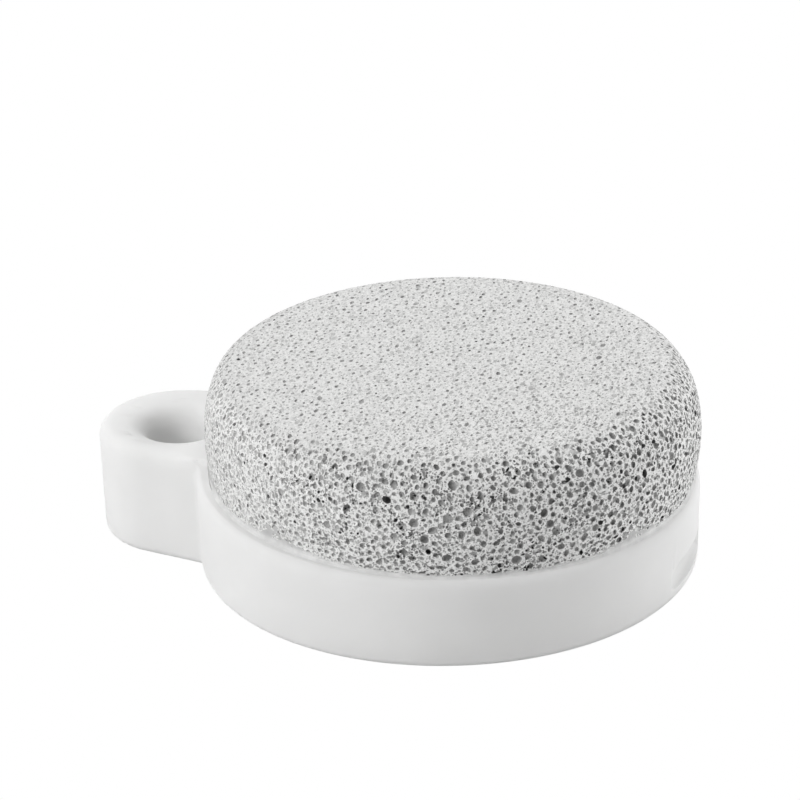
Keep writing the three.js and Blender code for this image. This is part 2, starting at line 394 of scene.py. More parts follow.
# %% The rings of the holder
def holder_rings():
    share = eye_share
    edge_round = RIM_ROUND + (EYE_ROUND - RIM_ROUND) * round_share
    edge_drop = RIM_DROP + (EYE_ROUND - RIM_DROP) * share
    rim = CUP_HEIGHT + joint_rise(PLAN[:, 0], CUP_HEIGHT)
    wall_top = rim + (EYE_HEIGHT - rim) * share
    lean_out = DRAFT * wall_top
    rings = []

    def outer(inset, height):
        place = PLAN - PLAN_NORMAL * np.reshape(inset, (-1, 1))
        rings.append(np.column_stack([place, np.broadcast_to(height, len(PLAN))]))

    for angle in quarter(-90, 6):
        outer(np.full(len(PLAN), FOOT_ROUND * (1 - math.cos(angle))), FOOT_ROUND * (1 + math.sin(angle)))
    for angle in quarter(0, 9):
        outer(edge_round * (1 - math.cos(angle)) - lean_out, wall_top - edge_drop * (1 - math.sin(angle)))
    edge = rings[-1]
    crest = rim_crest(INNER)
    seat_edge = inner_ring(crest + 0.02, CUP_HEIGHT)
    seat_edge[:, 2] = wall_top
    for part in (0.25, 0.5, 0.75, 1):
        rings.append(edge + (seat_edge - edge) * part)
    rings.append(inner_ring(crest, CUP_HEIGHT))
    rings.append(inner_ring(CUP_BORE, CUP_HEIGHT - RIM_BEVEL))
    rings.append(inner_ring(CUP_BORE, SEAT_HEIGHT))
    return rings


holder = skin("holder_moulding", holder_rings(), "filled")
report(holder)

# %% [markdown]
# The hole of the eye and the slot are cut out with a boolean, as they are in the real mould by
# pins. The hole's cutter is a half profile that is spun, so both edges of the hole come out
# rounded. The slot's cutter is a rounded outline that is extruded and tapers inwards like a pin
# with draft, with its inner end bent to the curve of the cup.

# %% The hole through the eye
CLEAR = 2


def hole_profile():
    """Half section of the cutter as (radius, height), from below the eye to above it."""
    edge = HOLE_RADIUS + HOLE_ROUND
    points = [(0, -CLEAR), (edge, -CLEAR)]
    for angle in quarter(180, 9)[::-1]:
        points.append((edge + HOLE_ROUND * math.cos(angle), HOLE_ROUND + HOLE_ROUND * math.sin(angle)))
    for angle in quarter(90, 9)[::-1]:
        height = EYE_HEIGHT - HOLE_ROUND + HOLE_ROUND * math.sin(angle)
        points.append((edge + HOLE_ROUND * math.cos(angle), height))
    return points + [(edge, EYE_HEIGHT + CLEAR), (0, EYE_HEIGHT + CLEAR)]


x, y = HOLE_CENTRE
points = [(x + radius, y, height) for radius, height in hole_profile()]
hole_cutter = mesh_piece("hole_cutter", points, [(i, i + 1) for i in range(len(points) - 1)])
bpy.ops.object.mode_set(mode="EDIT")
bpy.ops.mesh.select_all(action="SELECT")
bpy.ops.mesh.spin(steps=96, angle=2 * math.pi, center=(x * MM, y * MM, 0), axis=(0, 0, 1))
tidy_normals()
bpy.ops.object.mode_set(mode="OBJECT")
cut(holder, hole_cutter)


# %% The slot in the wall
def slot_outline(radius):
    """The slot's outline as (y, z), with corners of this radius about fixed centres."""
    wide = SLOT_WIDTH / 2 - SLOT_CORNER
    low, high = SLOT_LOW + SLOT_CORNER, SLOT_HIGH - SLOT_CORNER
    outline = []
    for y, z, start in ((-wide, low, 180), (wide, low, 270), (wide, high, 0), (-wide, high, 90)):
        for a in quarter(start, 9):
            outline.append((y + radius * math.cos(a), z + radius * math.sin(a)))
    return outline


slot_rings = [
    [(math.sqrt(SLOT_FLOOR**2 - y * y), y, z) for y, z in slot_outline(SLOT_CORNER - SLOT_FLARE)],
    [(math.sqrt(CUP_RADIUS**2 - y * y), y, z) for y, z in slot_outline(SLOT_CORNER)],
    [(CUP_RADIUS + 3, y, z) for y, z in slot_outline(SLOT_CORNER)],
]
slot_cutter = skin("slot_cutter", slot_rings, "filled")
cut(holder, slot_cutter)

# %% [markdown]
# A moulding has no razor edges, so edges sharper than 40 degrees get a small bevel. The shading is
# smooth over the rounded places and stays crisp at the edges that remain.

# %% Finishing the holder
EDGE_BREAK = 0.15
SHARP_FROM = 40
only(holder)
bpy.ops.object.modifier_add(type="BEVEL")
bevel = holder.modifiers[-1]
bevel.width = EDGE_BREAK * MM
bevel.segments = 2
bevel.limit_method = "ANGLE"
bevel.angle_limit = math.radians(SHARP_FROM)
bevel.use_clamp_overlap = True
bpy.ops.object.modifier_apply(modifier=bevel.name)
smooth_shade(holder, 60)
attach(holder, "root")
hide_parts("holder")
report(holder)

# %% [markdown]
# ## The stone
#
# Pumice is frozen foam: the flank of the real stone is packed with round pores of many sizes and
# thin walls stand between them. A bump pattern alone would look painted on, so every pore that can
# be told apart is a real hollow in one closed mesh, and the finest grain is left to the material.
#
# The stone is a turned shape, so its outline is drawn first: a slanted neck inside the cup, a
# belly, a rounded shoulder and an almost flat top.

# %% The outline of the stone
def bezier(a, b, c, d, steps):
    t = np.linspace(0, 1, steps)[:, None]
    a, b, c, d = (np.array(v, float) for v in (a, b, c, d))
    return a * (1 - t) ** 3 + 3 * b * t * (1 - t) ** 2 + 3 * c * t**2 * (1 - t) + d * t**3


def between(a, b, share):
    return a + (b - a) * share


(neck_r, neck_z), (belly_r, belly_z), (crown_r, crown_z) = STONE_NECK, STONE_BELLY, STONE_CROWN
flank = bezier(
    STONE_NECK,
    (between(neck_r, belly_r, 0.55), between(neck_z, belly_z, 0.3)),
    (belly_r, between(neck_z, belly_z, 0.65)),
    STONE_BELLY,
    60,
)
shoulder = bezier(
    STONE_BELLY,
    (belly_r, between(belly_z, crown_z, SHOULDER_FULLNESS)),
    (between(belly_r, crown_r, 1 - SHOULDER_FULLNESS), crown_z),
    STONE_CROWN,
    120,
)
AXIS_GAP = 0.02
top = np.linspace(STONE_CROWN, (AXIS_GAP, STONE_TOP), 600)
below = np.linspace(STONE_FOOT, STONE_NECK, 20)
PATH = np.concatenate([below[:-1], flank[:-1], shoulder[:-1], top])
steps = np.diff(PATH, axis=0)
PATH_S = np.concatenate([[0], np.cumsum(np.hypot(*steps.T))])
tangent = np.gradient(PATH, axis=0)
tangent /= np.hypot(*tangent.T)[:, None]
PATH_OUT = np.stack([tangent[:, 1], -tangent[:, 0]], 1)
print("outline is", round(PATH_S[-1], 1), "mm long from foot to axis")

# %% [markdown]
# Pores are placed and meshed on a flat chart of the stone. The chart keeps angles, as a sea chart
# does, so a round pore on the stone is round on the chart, and the flat mesh can be wrapped back
# without narrow triangles. The top's centre is the chart's centre, and the foot is its rim.

# %% The chart
gaps = np.diff(PATH_S) / ((PATH[1:, 0] + PATH[:-1, 0]) / 2)
CHART = CUP_RADIUS * np.exp(-np.concatenate([[0], np.cumsum(gaps)]))


def chart_scale(s):
    """Chart millimetres for each millimetre on the stone."""
    return np.interp(s, PATH_S, CHART) / np.interp(s, PATH_S, PATH[:, 0])


def wrap(flat):
    """From points of the chart to points of the stone, their outward directions and s."""
    reach = np.hypot(flat[:, 0], flat[:, 1])
    turn = np.arctan2(flat[:, 1], flat[:, 0])
    s = np.interp(reach, np.append(CHART, 0)[::-1], np.append(PATH_S, PATH_S[-1] + AXIS_GAP)[::-1])
    radius = np.interp(s, np.append(PATH_S, PATH_S[-1] + AXIS_GAP), np.append(PATH[:, 0], 0))
    height = np.interp(s, PATH_S, PATH[:, 1])
    out_r, out_z = np.interp(s, PATH_S, PATH_OUT[:, 0]), np.interp(s, PATH_S, PATH_OUT[:, 1])
    cos, sin = np.cos(turn), np.sin(turn)
    place = np.stack([radius * cos, radius * sin, height], 1)
    return place, np.stack([out_r * cos, out_r * sin, out_z], 1), s


def settle(place):
    """Moves the stone a little towards the slot's side, most of all its belly, and leans the joint."""
    place = place.copy()
    rise = joint_rise(place[:, 0], place[:, 2])
    place[:, 0] += np.interp(place[:, 2], *zip(*STONE_SHIFT))
    place[:, 2] += rise
    return place


# %% [markdown]
# The pores are scattered like darts. The big ones are thrown first and the small ones fill the
# gaps, and a dart that lands too near an older pore is thrown away. On the top, which has been
# rubbed on skin, only the shallow remains of small pores are left, so there every size is smaller.
# The foam isn't even all round either: its bubbles are coarse on one side and fine on the other.

# %% Throwing the pores
PORE_SEED = 11
PORE_SIZES = [  # smallest and largest radius, darts, share of the darts kept on the top
    (0.50, 0.70, 700, 0.08),
    (0.37, 0.48, 9000, 0.16),
    (0.27, 0.35, 28000, 0.3),
    (0.19, 0.25, 44000, 0.42),
    (0.13, 0.17, 34000, 0.26),
]
# The coarse side gets the least light. Its pores are larger, and in colour they also get more painted shade.
COARSE_SHADED_SIDE = math.radians(-45)
FINE_SIZE = 0.8
TOP_SIZE = 0.95
TOP_FROM, TOP_TO = 24.6, 25.3
PORE_LOW = 11.2
WALL = (0.015, 0.06)
CELL = 1.45
rng = np.random.default_rng(PORE_SEED)


def coarse_and_shaded(turn):
    """1 on the coarse side, whose pores also get more painted shade, 0 on the fine side."""
    return smooth(np.cos(turn - COARSE_SHADED_SIDE), 0.1, 1)


def throw_pores():
    """Centres as (s, turn) and radii of pores that leave a wall between each other."""
    share_of_area = np.cumsum(PATH[:, 0] * np.gradient(PATH_S))
    share_of_area /= share_of_area[-1]
    grid, kept = {}, []
    for small, large, darts, on_top in PORE_SIZES:
        s = np.interp(rng.random(darts), share_of_area, PATH_S)
        turn = rng.random(darts) * 2 * math.pi
        r, z = np.interp(s, PATH_S, PATH[:, 0]), np.interp(s, PATH_S, PATH[:, 1])
        worn = smooth(z, TOP_FROM, TOP_TO)
        size = between(small, large, rng.random(darts) ** 1.5) * between(1, TOP_SIZE, worn)
        size *= between(between(FINE_SIZE, 1, coarse_and_shaded(turn)), 1, worn)
        chosen = (rng.random(darts) < between(1, on_top, worn)) & (z - size > PORE_LOW - 0.2)
        wall = between(*WALL, rng.random(darts)) + 0.1 * worn
        spots = np.stack([r * np.cos(turn), r * np.sin(turn), z], 1)
        for i in np.flatnonzero(chosen):
            x, y, h = spots[i]
            cell = (int(x // CELL), int(y // CELL), int(h // CELL))
            near = [
                other
                for dx in (-1, 0, 1) for dy in (-1, 0, 1) for dz in (-1, 0, 1)
                for other in grid.get((cell[0] + dx, cell[1] + dy, cell[2] + dz), ())
            ]
            reach = size[i] + wall[i]
            if all((x - a) ** 2 + (y - b) ** 2 + (h - c) ** 2 > (reach + d) ** 2 for a, b, c, d in near):
                grid.setdefault(cell, []).append((x, y, h, size[i]))
                kept.append((s[i], turn[i], size[i]))
    return np.array(kept)


pores = throw_pores()
worn = smooth(np.interp(pores[:, 0], PATH_S, PATH[:, 1]), TOP_FROM, TOP_TO)
print(len(pores), "pores, the largest", round(2 * pores[:, 2].max(), 2), "mm across")

# %% [markdown]
# Each pore gets a rim of a few points, drawn as an uneven oval. Large pores are bowls, with an
# inner ring under the rim, and small ones are plain pits. The flat chart between the rims is then
# filled with triangles, and these are the walls and lands that remain of the foam.

# %% Rims on the chart
BOWL_FROM = 0.30
SIDES = [(0.42, 9), (BOWL_FROM, 8), (0.2, 6), (0, 5)]
DRAWN_OUT = 0.62
FOOT_POINTS = 96
STONE_BASE = SEAT_HEIGHT + 0.05


def rims():
    """Every rim's points on the chart, with the pore that each belongs to."""
    flat, owner = [], []
    for number, (s, turn, size) in enumerate(pores):
        sides = next(n for least, n in SIDES if size >= least)
        angles = (np.arange(sides) + rng.random()) / sides * 2 * math.pi
        stretch, lie = rng.uniform(0.64, 1), rng.random() * math.pi
        radius = size * rng.uniform(0.8, 1.02, sides)
        a = radius * np.cos(angles)
        b = radius * np.sin(angles) * stretch
        a, b = a * math.cos(lie) - b * math.sin(lie), a * math.sin(lie) + b * math.cos(lie)
        scale = chart_scale(s)
        centre = np.interp(s, PATH_S, CHART)
        cos, sin = math.cos(turn), math.sin(turn)
        across = (-b * cos - a * sin) * between(1, DRAWN_OUT, worn[number])
        along = -b * sin + a * cos
        flat.append(np.stack([centre * cos + scale * across, centre * sin + scale * along], 1))
        owner += [number] * sides
    return np.concatenate(flat), np.array(owner)


rim_flat, rim_owner = rims()
rim_first = np.searchsorted(rim_owner, np.arange(len(pores) + 1))
foot_turns = np.arange(FOOT_POINTS) / FOOT_POINTS * 2 * math.pi
foot_flat = CHART[0] * np.stack([np.cos(foot_turns), np.sin(foot_turns)], 1)
print(len(rim_flat), "rim points")


# %% Filling the lands with triangles
def fill_lands():
    """Triangles between the rims. The mesh filler works on a plane and keeps the rims' edges."""
    points = np.concatenate([rim_flat, foot_flat])
    loops = [list(range(rim_first[i], rim_first[i + 1])) for i in range(len(pores))]
    out = delaunay_2d_cdt([Vector(p) for p in points], [], loops, 0, 1e-6)
    verts, _, faces, origins, _, face_origins = out
    source = [o[0] if o else -1 for o in origins]
    lands = [tuple(source[v] for v in face) for face, own in zip(faces, face_origins) if not own]
    print(len(points), "points in,", len(verts), "out,", len(lands), "land triangles")
    return [f for f in lands if min(f) >= 0]


lands = fill_lands()

# %% [markdown]
# Now the chart is wrapped round the stone. Lands stay at the surface, with a slight unevenness, and
# every pore is pushed in along its own direction, to its own depth. A value of painted shade goes
# with each face: 0 on the lands and about a half in a pore. The material paints shade with it: the
# inside of a bubble gets darker than a plain dent by all the light that is lost between its walls.

# %% The pores' depths and painted shade
PORE_DEPTH = (0.5, 1.05)
TOP_DEPTH = 0.6
# The shades below are painted shade: they darken a pore's colour on top of the real shade of its hollow.
PORE_SHADE = (0.38, 0.7)
FINE_LIT_SIDE_SHADE = 0.6
TOP_PORE_SHADE = 0.85
DARK_PORES = 0.025
DARK_PORE_SHADE = (0.8, 1.05)
DARK_DEPTH = 1.8
TILT = 0.25
BOWL_RING = 0.84
BOWL_DEPTH = 0.62
UNEVEN = 0.025
LIP = 0.85

depth = pores[:, 2] * between(*PORE_DEPTH, rng.random(len(pores))) * between(1, TOP_DEPTH, worn)
# Each pore's painted shade, lighter on the worn top, where pores are shallow, and on the fine side, which gets more
# light.
pore_shade = rng.uniform(*PORE_SHADE, len(pores)) * between(between(FINE_LIT_SIDE_SHADE, 1, coarse_and_shaded(pores[:, 1])), TOP_PORE_SHADE, worn)
rarer_if_large = np.where(pores[:, 2] > 0.36, 0.4, 1.2)
dark = rng.random(len(pores)) < DARK_PORES * between(1, 0.5, worn) * rarer_if_large
depth[dark] *= DARK_DEPTH
pore_shade[dark] = rng.uniform(*DARK_PORE_SHADE, dark.sum())
centre_turn = pores[:, 1]
centre_reach = np.interp(pores[:, 0], PATH_S, CHART)
centre_flat = centre_reach[:, None] * np.stack([np.cos(centre_turn), np.sin(centre_turn)], 1)
centre_place, centre_out, _ = wrap(centre_flat)
push = centre_out + rng.normal(0, TILT, centre_out.shape)
push *= -1 / np.linalg.norm(push, axis=1)[:, None]


# %% Wrapping the lands and sinking the pores
def stone_mesh():
    """Points and faces of the stone, and the painted shade of each face. Its underside is a plain disc."""
    rim_place, rim_out, _ = wrap(rim_flat)
    rim_place = rim_place + rim_out * rng.uniform(-UNEVEN, UNEVEN, (len(rim_place), 1))
    foot_place, _, _ = wrap(foot_flat)
    bowls = pores[rim_owner, 2] >= BOWL_FROM
    inner = (
        centre_place[rim_owner]
        + BOWL_RING * (rim_place - centre_place[rim_owner])
        + push[rim_owner] * (BOWL_DEPTH * depth[rim_owner])[:, None]
    )[bowls]
    bottom = centre_place + push * depth[:, None]
    inner_at = np.full(len(rim_flat), -1)
    inner_at[bowls] = np.arange(bowls.sum()) + len(rim_flat) + FOOT_POINTS
    first_bottom = len(rim_flat) + FOOT_POINTS + len(inner)
    foot_at = len(rim_flat)
    close = np.stack([foot_place[:, 0], foot_place[:, 1], np.full(FOOT_POINTS, STONE_BASE)], 1)
    close_at = first_bottom + len(bottom)
    points = [rim_place, foot_place, inner, bottom, close, [[0, 0, STONE_BASE]]]
    faces = [f[::-1] for f in lands]
    painted_shade = [0] * len(lands)
    for number in range(len(pores)):
        ring = list(range(rim_first[number], rim_first[number + 1]))
        base = first_bottom + number
        follow = ring[1:] + ring[:1]
        if inner_at[ring[0]] >= 0:
            for a, b in zip(ring, follow):
                faces += [(a, inner_at[a], inner_at[b], b), (inner_at[a], base, inner_at[b])]
                # A bowl's wall gets a little less painted shade than its floor.
                painted_shade += [pore_shade[number] * LIP, pore_shade[number]]
        else:
            faces += [(a, base, b) for a, b in zip(ring, follow)]
            painted_shade += [pore_shade[number]] * len(ring)
    for i in range(FOOT_POINTS):
        j = (i + 1) % FOOT_POINTS
        faces += [(foot_at + i, foot_at + j, close_at + j, close_at + i)]
        faces += [(close_at + i, close_at + j, close_at + FOOT_POINTS)]
        painted_shade += [0, 0]
    return settle(np.concatenate(points)), faces, painted_shade


stone_points, stone_faces, painted_shade = stone_mesh()
stone = mesh_piece("pumice_block", stone_points, (), stone_faces)
# Each face carries its painted shade, which the material reads.
value = stone.data.attributes.new("painted_shade", "FLOAT", "FACE")
value.data.foreach_set("value", painted_shade)
bpy.ops.object.mode_set(mode="EDIT")
bpy.ops.mesh.select_all(action="SELECT")
bpy.ops.mesh.normals_make_consistent(inside=False)
bpy.ops.object.mode_set(mode="OBJECT")
smooth_shade(stone, 48)
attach(stone, "root")
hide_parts("pumice_stone")
report(stone)

# %% [markdown]
# ## The cement
#
# The cement filled the gap round the stone and was wiped off with a finger. It leaves a thin uneven
# milky line on the rim, a few smears that climb the stone and clog its pores, and small wedges in
# the corners beside the eye. It could be a plain ring, but the real line never has the same width
# twice. So its section is skinned ring by ring, like the holder, and the height to which it climbs
# changes along the ring. Its upper edge dives under the stone's surface, so the edge that shows is
# drawn by the pores themselves.

# %% How high the cement climbs
CEMENT_POINTS = 720
CEMENT_GAP = 0.06
CEMENT_START = 11.72
NECK_SHIFT = 0.55
RIM_SHOULDER = CUP_RADIUS + DRAFT * CUP_HEIGHT - RIM_ROUND
CEMENT_SEED = 3
CEMENT_LINE = 0.15
SMEARS = [  # middle and half width in degrees, climb in millimetres
    (-120, 11, 1.7), (-27, 9, 1.7), (62, 20, 1.2), (118, 12, 0.8), (-154, 8, 1.9), (154, 8, 1.9),
    (-172, 14, 1.9), (172, 14, 1.9),
]
CEMENT_SECTION = [
    (0, 0.16), (0.06, 0.11), (0.15, 0.06), (0.3, 0.04), (0.45, 0.02), (0.6, 0.01), (0.72, -0.01), (0.84, -0.05),
]
CEMENT_PATCHY = 0.045

turns = np.arange(CEMENT_POINTS) / CEMENT_POINTS * 2 * math.pi
cement_rng = np.random.default_rng(CEMENT_SEED)


def wavy(strongest, slowest, fastest):
    """Random waves round the ring, with their strength falling as they get finer."""
    total = np.zeros(CEMENT_POINTS)
    for k in range(slowest, fastest):
        total += cement_rng.normal() / math.sqrt(k) * np.sin(k * turns + cement_rng.random() * 2 * math.pi)
    return total * strongest / total.std()


climb = CEMENT_LINE + 0.14 * np.abs(wavy(1, 3, 40)) + 0.05 * np.abs(wavy(1, 40, 140))
for middle, half_width, height in SMEARS:
    away = np.abs((np.degrees(turns) - middle + 180) % 360 - 180) / half_width
    climb += height * np.exp(-(away**2) * 1.5) * (1 + 0.25 * wavy(1, 12, 60))
climb = np.maximum(climb, 0.1)
print("cement climbs", round(climb.min(), 2), "to", round(climb.max(), 2), "mm above the rim")


# %% The rings of cement
def on_flank(height, lift):
    """Points round the stone at a height, lifted off its surface."""
    low_end = np.argmax(PATH[:, 1] >= STONE_CROWN[1] - 0.5)
    s = np.interp(height, PATH[:low_end, 1], PATH_S[:low_end])
    radius = np.interp(s, PATH_S, PATH[:, 0]) + lift * np.interp(s, PATH_S, PATH_OUT[:, 0])
    level = np.interp(s, PATH_S, PATH[:, 1]) + lift * np.interp(s, PATH_S, PATH_OUT[:, 1])
    return settle(np.stack([radius * np.cos(turns), radius * np.sin(turns), level], 1))


def round_ring(radius, height):
    x, y = radius * np.cos(turns), radius * np.sin(turns)
    z = np.broadcast_to(height, len(turns))
    return np.stack([x, y, z + joint_rise(x, z)], 1)


def rim_top(radius):
    """Height of the cup's rounded rim at a radius."""
    past = np.clip((radius - RIM_SHOULDER) / RIM_ROUND, 0, 1)
    return CUP_HEIGHT - RIM_DROP * (1 - np.sqrt(1 - past**2))


def cement_rings():
    inside = STONE_FOOT[0] + CEMENT_GAP
    outside = CUP_BORE - CEMENT_GAP
    crest = rim_crest(turns)
    neck = neck_r + NECK_SHIFT * np.cos(turns)
    spill = np.maximum(crest + 0.2, neck + 0.3) + np.clip(0.05 + 0.05 * wavy(1, 4, 60), 0, 0.15)
    by_eye = smooth(np.abs((np.degrees(turns) + 180) % 360 - 180), 148, 153)
    spill = between(spill, crest - CEMENT_GAP, by_eye)
    rings = [
        round_ring(inside, SEAT_HEIGHT + 0.5),
        round_ring(outside, SEAT_HEIGHT + 0.5),
        round_ring(outside, CUP_HEIGHT - RIM_BEVEL),
        round_ring(crest - CEMENT_GAP, CUP_HEIGHT - CEMENT_GAP),
        round_ring(spill, rim_top(spill) - 0.03),
    ]
    for part, lift in CEMENT_SECTION:
        body = lift + CEMENT_PATCHY * wavy(1, 25, 150) * min(part / 0.3, 1) + 0.12 * by_eye
        rings.append(on_flank(CEMENT_START + climb * part, body))
    rings.append(on_flank(CEMENT_START + climb, -0.4))
    rings.append(on_flank(np.full(CEMENT_POINTS, neck_z - 0.3), -0.6))
    rings.append(rings[0])
    return rings


cement = skin("cement_line", cement_rings(), "joined")
smooth_shade(cement, 70)
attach(cement, "root")
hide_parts("glue_line")
report(cement)

# %% [markdown]
# ## Finishes
#
# All three finishes are matt to satin and nearly white. What sets them apart is their fine
# structure, so that comes first, in node groups that the materials share.

# %% Node helpers
def new_group(name, inputs, outputs):
    group = bpy.data.node_groups.new(name, "ShaderNodeTree")
    for label, kind in inputs:
        group.interface.new_socket(name=label, in_out="INPUT", socket_type="NodeSocket" + kind)
    for label, kind in outputs:
        group.interface.new_socket(name=label, in_out="OUTPUT", socket_type="NodeSocket" + kind)
    return group, group.nodes.new("NodeGroupInput"), group.nodes.new("NodeGroupOutput")


def math_node(tree, operation, a, b):
    """A Math node fed by sockets or numbers. Returns its output."""
    new = tree.nodes.new("ShaderNodeMath")
    new.operation = operation
    for socket, source in zip(new.inputs, (a, b)):
        if isinstance(source, (int, float)):
            socket.default_value = source
        else:
            tree.links.new(source, socket)
    return new.outputs[0]


def remap(tree, value, low, high, to_low=0, to_high=1, kind="SMOOTHSTEP"):
    """A Map Range node between numbers, fed by a socket. Returns its output."""
    new = tree.nodes.new("ShaderNodeMapRange")
    new.interpolation_type = kind
    for label, number in (("From Min", low), ("From Max", high), ("To Min", to_low), ("To Max", to_high)):
        new.inputs[label].default_value = number
    tree.links.new(value, new.inputs["Value"])
    return new.outputs[0]


def distance_along(tree, place, direction):
    """The distance of a place along a direction."""
    new = tree.nodes.new("ShaderNodeVectorMath")
    new.operation = "DOT_PRODUCT"
    new.inputs[1].default_value = direction
    tree.links.new(place, new.inputs[0])
    return new.outputs["Value"]


def darkened(tree, colour, grey, share):
    """A colour that is multiplied by a grey, by the given share."""
    new = tree.nodes.new("ShaderNodeMix")
    new.data_type = "RGBA"
    new.blend_type = "MULTIPLY"
    new.inputs["B"].default_value = (grey, grey, grey, 1)
    tree.links.new(share, new.inputs["Factor"])
    tree.links.new(colour, new.inputs["A"])
    return new.outputs["Result"]


# %% [markdown]
# Pores too small to model are cut by the surface out of a solid pattern of bubbles, which is what
# pumice is. A Voronoi texture gives a point for each bubble and the distance to it, and its random
# colour gives each bubble its own size. A little noise bends the bubbles out of round.

# %% Fine bubbles
bubbles, bubbles_in, bubbles_out = new_group(
    "fine_bubbles",
    [("Place", "Vector"), ("Cells", "Float"), ("Smallest", "Float"), ("Largest", "Float")],
    [("Mask", "Float"), ("Shade", "Float")],
)
bend = bubbles.nodes.new("ShaderNodeTexNoise")
bend.inputs["Detail"].default_value = 1
cells = bubbles.nodes.new("ShaderNodeTexVoronoi")
scaled = bubbles.nodes.new("ShaderNodeVectorMath")
scaled.operation = "SCALE"
bubbles.links.new(bubbles_in.outputs["Place"], scaled.inputs[0])
bubbles.links.new(bubbles_in.outputs["Cells"], scaled.inputs["Scale"])
bubbles.links.new(scaled.outputs[0], bend.inputs["Vector"])
bend.inputs["Scale"].default_value = 1.3
shifted = bubbles.nodes.new("ShaderNodeVectorMath")
shifted.operation = "MULTIPLY_ADD"
shifted.inputs[1].default_value = (0.7, 0.7, 0.7)
bubbles.links.new(bend.outputs["Color"], shifted.inputs[0])
bubbles.links.new(scaled.outputs[0], shifted.inputs[2])
bubbles.links.new(shifted.outputs[0], cells.inputs["Vector"])
cells.inputs["Scale"].default_value = 1
split = bubbles.nodes.new("ShaderNodeSeparateColor")
bubbles.links.new(cells.outputs["Color"], split.inputs[0])
reach = bubbles.nodes.new("ShaderNodeMapRange")
bubbles.links.new(split.outputs[0], reach.inputs["Value"])
bubbles.links.new(bubbles_in.outputs["Smallest"], reach.inputs["To Min"])
bubbles.links.new(bubbles_in.outputs["Largest"], reach.inputs["To Max"])
edge = math_node(bubbles, "SUBTRACT", reach.outputs[0], 0.14)
inside = bubbles.nodes.new("ShaderNodeMapRange")
inside.interpolation_type = "SMOOTHSTEP"
bubbles.links.new(cells.outputs["Distance"], inside.inputs["Value"])
bubbles.links.new(edge, inside.inputs["From Min"])
bubbles.links.new(reach.outputs[0], inside.inputs["From Max"])
inside.inputs["To Min"].default_value = 1
inside.inputs["To Max"].default_value = 0
bubbles.links.new(inside.outputs[0], bubbles_out.inputs["Mask"])
bubbles.links.new(split.outputs[1], bubbles_out.inputs["Shade"])

# %% [markdown]
# The pumice reads the painted shade of each face and adds the fine bubbles to it. A colour ramp
# turns that into painted shade, from pale land to nearly black. Patches make the foam denser here
# and there. On the coarse side the bubbles open wider and darker: partly more bubbles, partly
# painted shade where the least light falls. On the rubbed top they are weaker, and the top's colour
# gets a trace of painted shade. Flecks of lighter and darker glass break up the lands.

# %% The pumice
# LAND is the stone's own white. The two darker colours are painted shade for the inside of pores.
LAND = (0.9, 0.9, 0.892, 1)
HALF_PAINTED_SHADE = (0.49, 0.49, 0.486, 1)
DEEP_PAINTED_SHADE = (0.03, 0.03, 0.03, 1)
TOP_PAINTED_SHADE = 0.88
BUBBLE_LAYERS = [  # cells per millimetre, smallest and largest bubble, strength
    (1.5, 0.0, 0.55, 0.8),
    (3.0, 0.1, 0.6, 0.7),
    (5.6, 0.1, 0.6, 0.62),
]
pumice, nodes, links = new_material("pumice")
tree = pumice.node_tree
stone_bsdf = nodes["Principled BSDF"]
stone_bsdf.inputs["Roughness"].default_value = 0.95
stone_bsdf.inputs["Specular IOR Level"].default_value = 0.2
place = nodes.new("ShaderNodeTexCoord").outputs["Object"]
grain = nodes.new("ShaderNodeVectorMath")
grain.operation = "MULTIPLY"
links.new(place, grain.inputs[0])
grain.inputs[1].default_value = (1, DRAWN_OUT, 1)
masks = []
for cells_per_mm, smallest, largest, strength in BUBBLE_LAYERS:
    fine = nodes.new("ShaderNodeGroup")
    fine.node_tree = bubbles
    links.new(grain.outputs[0], fine.inputs["Place"])
    fine.inputs["Cells"].default_value = cells_per_mm / MM
    fine.inputs["Smallest"].default_value = smallest
    fine.inputs["Largest"].default_value = largest
    shade = math_node(tree, "MULTIPLY_ADD", fine.outputs["Shade"], 0.7)
    shade.node.inputs[2].default_value = 0.3
    masks.append(math_node(tree, "MULTIPLY", math_node(tree, "MULTIPLY", fine.outputs["Mask"], shade), strength))
# The fine bubbles' mask makes both their dents and their painted shade.
fine_dents_and_shade = math_node(tree, "MAXIMUM", math_node(tree, "MAXIMUM", masks[0], masks[1]), masks[2])
where = nodes.new("ShaderNodeSeparateXYZ")
links.new(place, where.inputs[0])
# A mask for the top: it weakens the fine bubbles where the top is worn and gives the top its painted shade.
worn_and_shaded_top = remap(tree, where.outputs["Z"], 23.6 * MM, 25.2 * MM)
patches = nodes.new("ShaderNodeTexNoise")
patches.inputs["Scale"].default_value = 0.45 / MM
patches.inputs["Detail"].default_value = 1
links.new(place, patches.inputs["Vector"])
density = remap(tree, patches.outputs[0], 0.3, 0.7, 0.6, 1.25, "LINEAR")
rubbed = math_node(tree, "MULTIPLY_ADD", worn_and_shaded_top, -0.42)
rubbed.node.inputs[2].default_value = 1
# Stronger fine bubbles on the coarse side: partly more bubbles, partly painted shade where the least light falls.
side = distance_along(tree, place, (math.cos(COARSE_SHADED_SIDE), math.sin(COARSE_SHADED_SIDE), 0))
open_and_shaded_side = remap(tree, side, 0, 27 * MM, 0.8, 1.4)
fineness_and_shade = math_node(tree, "MULTIPLY", math_node(tree, "MULTIPLY", density, rubbed), open_and_shaded_side)
read = nodes.new("ShaderNodeAttribute")
read.attribute_name = "painted_shade"
